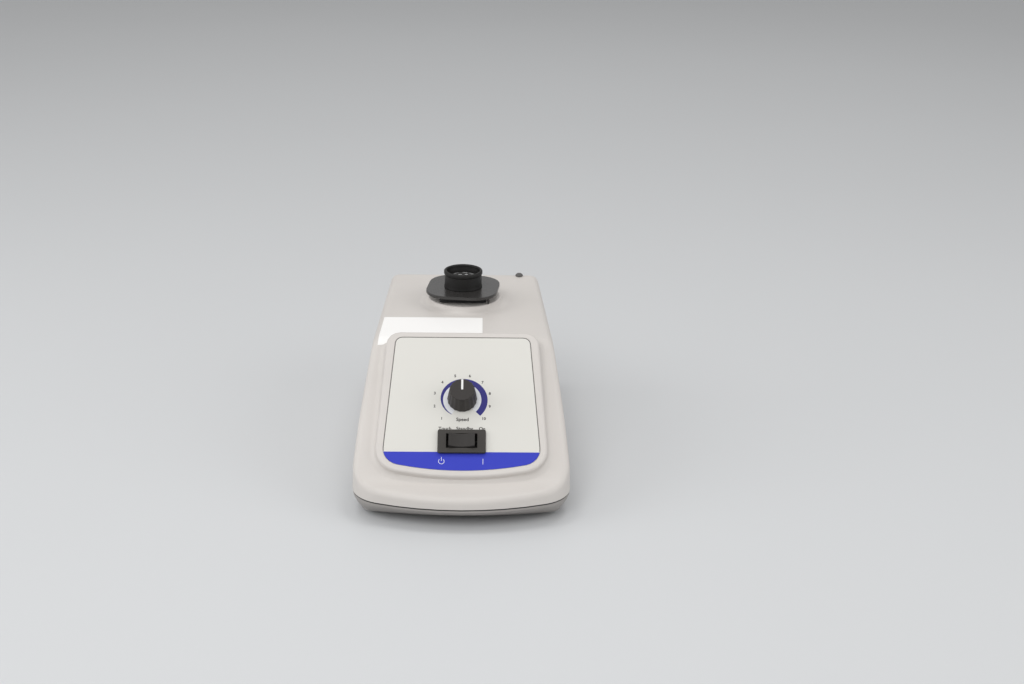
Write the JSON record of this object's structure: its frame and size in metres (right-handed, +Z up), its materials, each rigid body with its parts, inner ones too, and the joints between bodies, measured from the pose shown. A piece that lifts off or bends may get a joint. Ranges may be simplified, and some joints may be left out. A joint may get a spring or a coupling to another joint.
{
  "type": "microplate vortex mixer",
  "caption": "Wedge-shaped bench mixer with a sloping panel, a speed knob and a rocker switch, and a rubber cup on a plate that goes round in a small circle.",
  "frame": {"origin": "on the bench, under the middle of the mixer's bounding box", "axes": "+X to the right as seen from the front, +Y to the back, +Z up; the control panel faces -Y"},
  "size_m": [0.161, 0.287, 0.1308],
  "materials": {
    "housing_plastic": "light warm grey, fine moulded texture",
    "pan_paint": "mid grey, satin",
    "overlay_film": "printed film, satin",
    "black_plastic": "black, satin to glossy",
    "black_rubber": "black rubber",
    "pointer_white": "white",
    "steel": "plain steel",
    "cast_aluminium": "as cast",
    "electrical_steel": "laminated",
    "copper": "enamelled copper wire",
    "brass": "plain",
    "circuit_board": "green solder mask"
  },
  "bodies": {
    "chassis": {"top_housing": "housing_plastic", "base_pan": "pan_paint", "panel_overlay": "overlay_film", "switch_frame": "black_plastic", "guide_plate": "black_plastic", "power_inlet": "black_plastic", "deck_plug": "black_rubber", "foot_front_left": "black_rubber", "foot_front_right": "black_rubber", "foot_rear_left": "black_rubber", "foot_rear_right": "black_rubber", "ballast_plate": "steel", "mount_plate": "steel", "upper_bearing": "steel", "lower_bearing": "steel", "potentiometer": "steel", "board_screw_right": "steel", "board_screw_left": "steel", "support_column_rear_right": "steel", "support_column_rear_left": "steel", "support_column_front_left": "steel", "support_column_front_right": "steel", "mount_screw_rear_right": "steel", "mount_screw_rear_left": "steel", "mount_screw_front_left": "steel", "mount_screw_front_right": "steel", "motor_bolt_rear_right": "steel", "motor_bolt_rear_left": "steel", "motor_bolt_front_left": "steel", "motor_bolt_front_right": "steel", "base_screw_front_left": "steel", "base_screw_front_right": "steel", "base_screw_rear_left": "steel", "base_screw_rear_right": "steel", "upper_bracket": "cast_aluminium", "lower_bracket": "cast_aluminium", "heat_sink": "cast_aluminium", "stator_core": "electrical_steel", "stator_windings": "copper", "pot_nut": "brass", "control_board": "circuit_board"},
    "rotor": {"motor_shaft": "steel", "rotor_core": "electrical_steel", "cooling_fan": "black_plastic", "eccentric_hub": "steel", "counterweight": "brass"},
    "head": {"drive_carrier": "black_plastic", "carrier_bearing": "steel", "platform_plate": "black_plastic", "rubber_cup": "black_rubber", "cup_insert": "black_rubber", "head_screw": "steel", "guide_pin_right": "steel", "guide_pin_left": "steel"},
    "knob": {"speed_knob": "black_plastic", "knob_pointer": "pointer_white", "pot_shaft": "steel"},
    "rocker": {"switch_rocker": "black_plastic"}
  },
  "joints": [
    {"name": "motor_spin", "type": "hinge", "parent": "chassis", "child": "rotor", "pos_m": [0, 0.068, 0.054], "axis": [0, 0, 1], "continuous": true},
    {"name": "head_orbit", "type": "hinge", "parent": "rotor", "child": "head", "pos_m": [-0.0009, 0.06644, 0.1], "axis": [0, 0, 1], "continuous": true},
    {"name": "knob_turn", "type": "hinge", "parent": "chassis", "child": "knob", "pos_m": [0, -0.0733, 0.07475], "axis": [0, -0.6157, 0.788], "range_deg": [-135, 135]},
    {"name": "rocker_tilt", "type": "hinge", "parent": "chassis", "child": "rocker", "pos_m": [0, -0.1031, 0.05376], "axis": [0, 0.788, 0.6157], "range_deg": [-10, 10]}
  ],
  "couplings": [
    {"joint": "head_orbit", "follows": "motor_spin", "ratio": -1}
  ]
}
